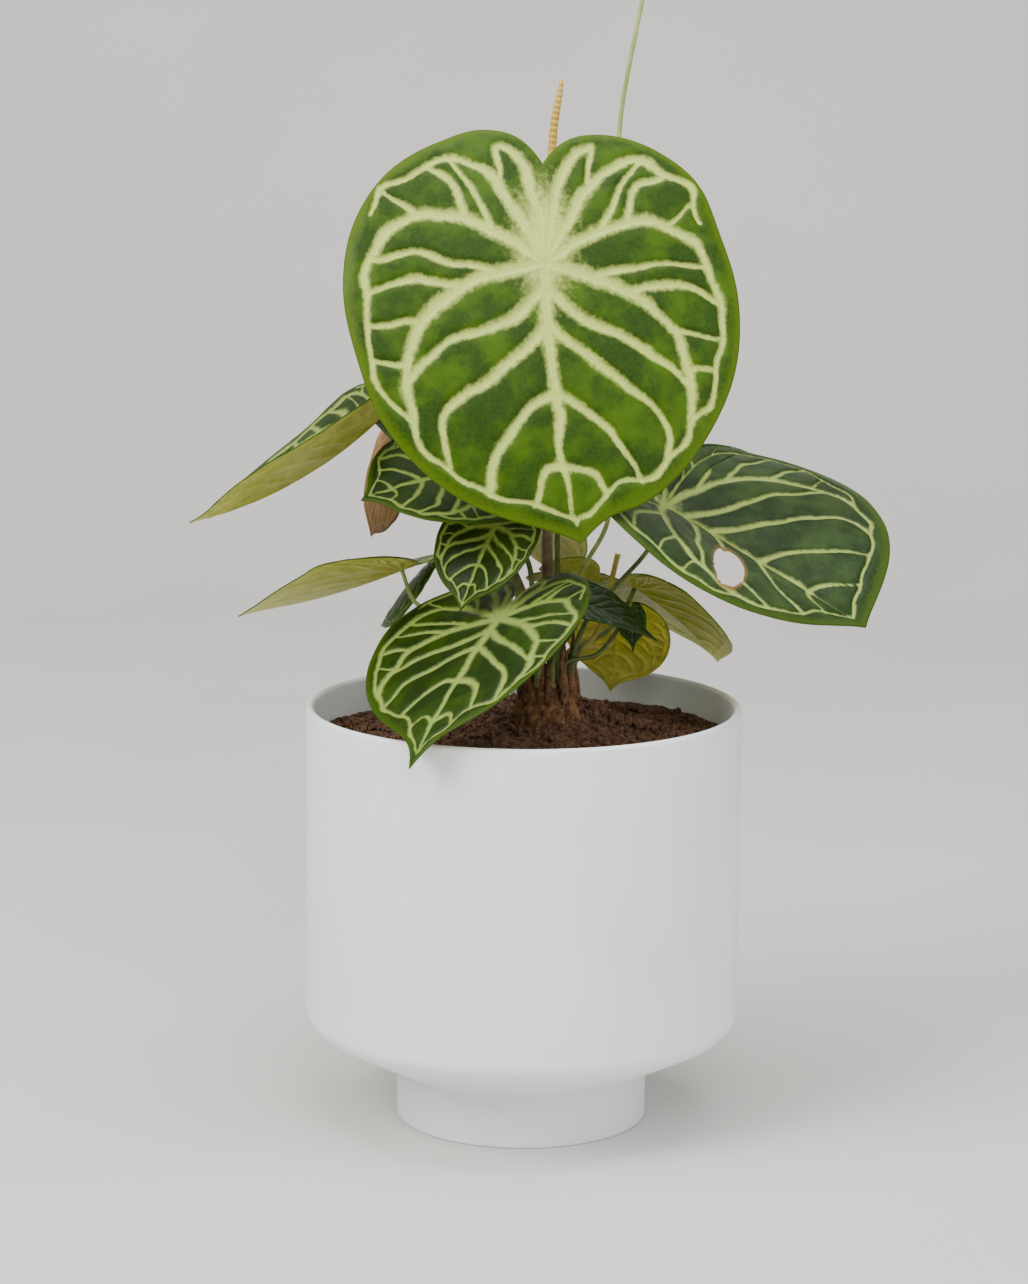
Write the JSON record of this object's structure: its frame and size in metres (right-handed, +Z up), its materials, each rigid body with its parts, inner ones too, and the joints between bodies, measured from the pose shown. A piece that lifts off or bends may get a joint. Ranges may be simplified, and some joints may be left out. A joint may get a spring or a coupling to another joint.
{
  "type": "potted anthurium plant",
  "caption": "Velvet-leaf anthurium with heart-shaped leaves and flower spikes on thin stalks, rooted in a white ceramic planter with a narrow foot.",
  "frame": {"origin": "centre of the planter's flat underside", "axes": "+Z up along the plant, -Y towards the front of the tall leaf"},
  "size_m": [0.2556, 0.1686, 0.4641],
  "materials": {
    "ceramic": "matte",
    "potting_mix": "matte",
    "fibre": "matte",
    "foliage": "satin",
    "stalk": "satin",
    "spadix": "satin",
    "spathe": "satin"
  },
  "bodies": {
    "root": {"crown": "fibre", "flower_stalk": "stalk", "leaf_back_pale": "foliage", "leaf_back_small": "foliage", "leaf_front": "foliage", "leaf_front_right": "foliage", "leaf_left": "foliage", "leaf_left_back": "foliage", "leaf_left_hanging": "foliage", "leaf_left_inner": "foliage", "leaf_left_low": "foliage", "leaf_middle": "foliage", "leaf_right": "foliage", "leaf_right_back": "foliage", "leaf_right_hanging": "foliage", "leaf_tall": "foliage", "leaf_young": "foliage", "old_stalk": "stalk", "planter": "ceramic", "potting_mix": "potting_mix", "spadix": "spadix", "spathe": "spathe", "stalk_back_pale": "stalk", "stalk_back_small": "stalk", "stalk_front": "stalk", "stalk_front_right": "stalk", "stalk_left": "stalk", "stalk_left_back": "stalk", "stalk_left_hanging": "stalk", "stalk_left_inner": "stalk", "stalk_left_low": "stalk", "stalk_middle": "stalk", "stalk_right": "stalk", "stalk_right_back": "stalk", "stalk_right_hanging": "stalk", "stalk_tall": "stalk", "stalk_young": "stalk", "young_flower_stalk": "stalk", "young_spadix": "spadix", "young_spathe": "spathe"}
  },
  "joints": []
}
